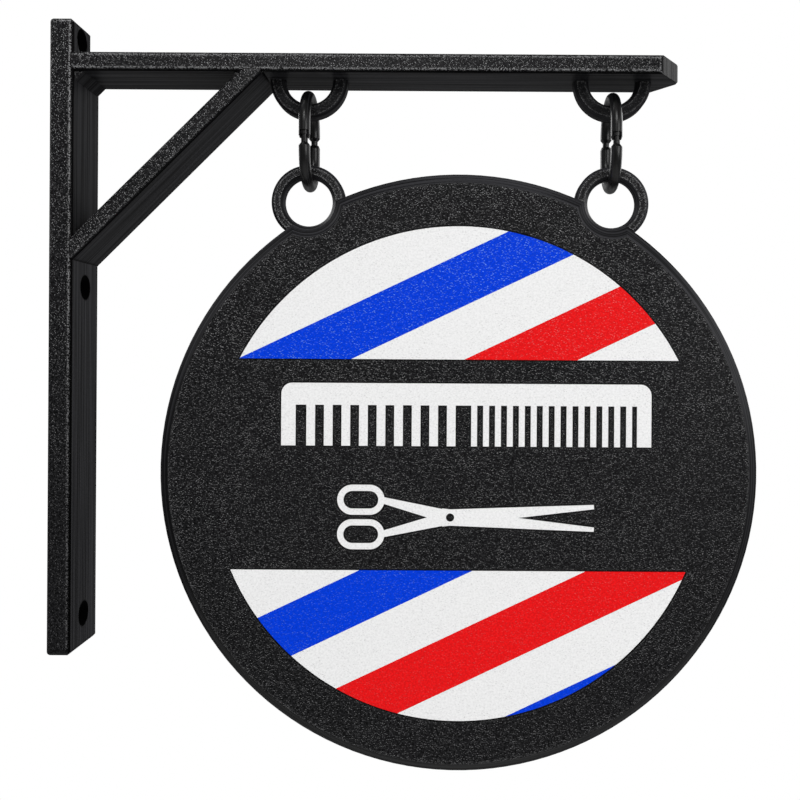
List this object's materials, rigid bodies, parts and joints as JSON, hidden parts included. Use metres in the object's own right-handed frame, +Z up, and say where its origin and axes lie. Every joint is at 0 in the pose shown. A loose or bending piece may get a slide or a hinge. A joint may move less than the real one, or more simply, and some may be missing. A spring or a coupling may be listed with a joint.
{
  "type": "hanging barber shop sign",
  "caption": "Striped round sign hanging from a wall bracket with a diagonal brace by snap-together links, comb and scissors across its middle.",
  "frame": {"origin": "centre of the post's face that lies on the wall, halfway up the post and halfway through its depth", "axes": "+X out from the wall along the arm, +Y to the back of the sign as the picture shows it, +Z up"},
  "size_m": [0.225, 0.0248, 0.2387],
  "materials": {
    "black_print": "black printed plastic, grainy on the front and back faces, fine layer lines on the sides",
    "white_print": "white printed plastic, satin",
    "blue_print": "blue printed plastic, satin",
    "red_print": "red printed plastic, satin"
  },
  "bodies": {
    "bracket": {"bracket_post": "black_print", "bracket_arm": "black_print", "bracket_brace": "black_print", "corner_block": "black_print", "left_loop": "black_print", "right_loop": "black_print"},
    "left_link": {"left_link_upper": "black_print", "left_link_lower": "black_print"},
    "right_link": {"right_link_upper": "black_print", "right_link_lower": "black_print"},
    "sign": {"sign_disc": "black_print", "left_ear": "black_print", "right_ear": "black_print", "front_upper_white_top": "white_print", "front_upper_blue": "blue_print", "front_upper_white_middle": "white_print", "front_upper_red": "red_print", "front_upper_white_bottom": "white_print", "front_lower_white_top": "white_print", "front_lower_blue": "blue_print", "front_lower_white_middle": "white_print", "front_lower_red": "red_print", "front_lower_white_bottom": "white_print", "front_lower_blue_corner": "blue_print", "front_comb": "white_print", "front_scissors": "white_print", "back_upper_white_top": "white_print", "back_upper_blue": "blue_print", "back_upper_white_middle": "white_print", "back_upper_red": "red_print", "back_upper_white_bottom": "white_print", "back_lower_white_top": "white_print", "back_lower_blue": "blue_print", "back_lower_white_middle": "white_print", "back_lower_red": "red_print", "back_lower_white_bottom": "white_print", "back_lower_blue_corner": "blue_print", "back_comb": "white_print", "back_scissors": "white_print"}
  },
  "joints": [
    {"name": "left_link_swing", "type": "hinge", "parent": "bracket", "child": "left_link", "pos_m": [0.08002, 0, 0.0734], "axis": [1, 0, 0], "range_deg": [-30, 30]},
    {"name": "right_link_swing", "type": "hinge", "parent": "bracket", "child": "right_link", "pos_m": [0.17802, 0, 0.0734], "axis": [1, 0, 0], "range_deg": [-30, 30]},
    {"name": "sign_swing", "type": "hinge", "parent": "left_link", "child": "sign", "pos_m": [0.08002, 0, 0.0546], "axis": [1, 0, 0], "range_deg": [-30, 30]}
  ],
  "couplings": [
    {"joint": "right_link_swing", "follows": "left_link_swing", "ratio": 1}
  ]
}
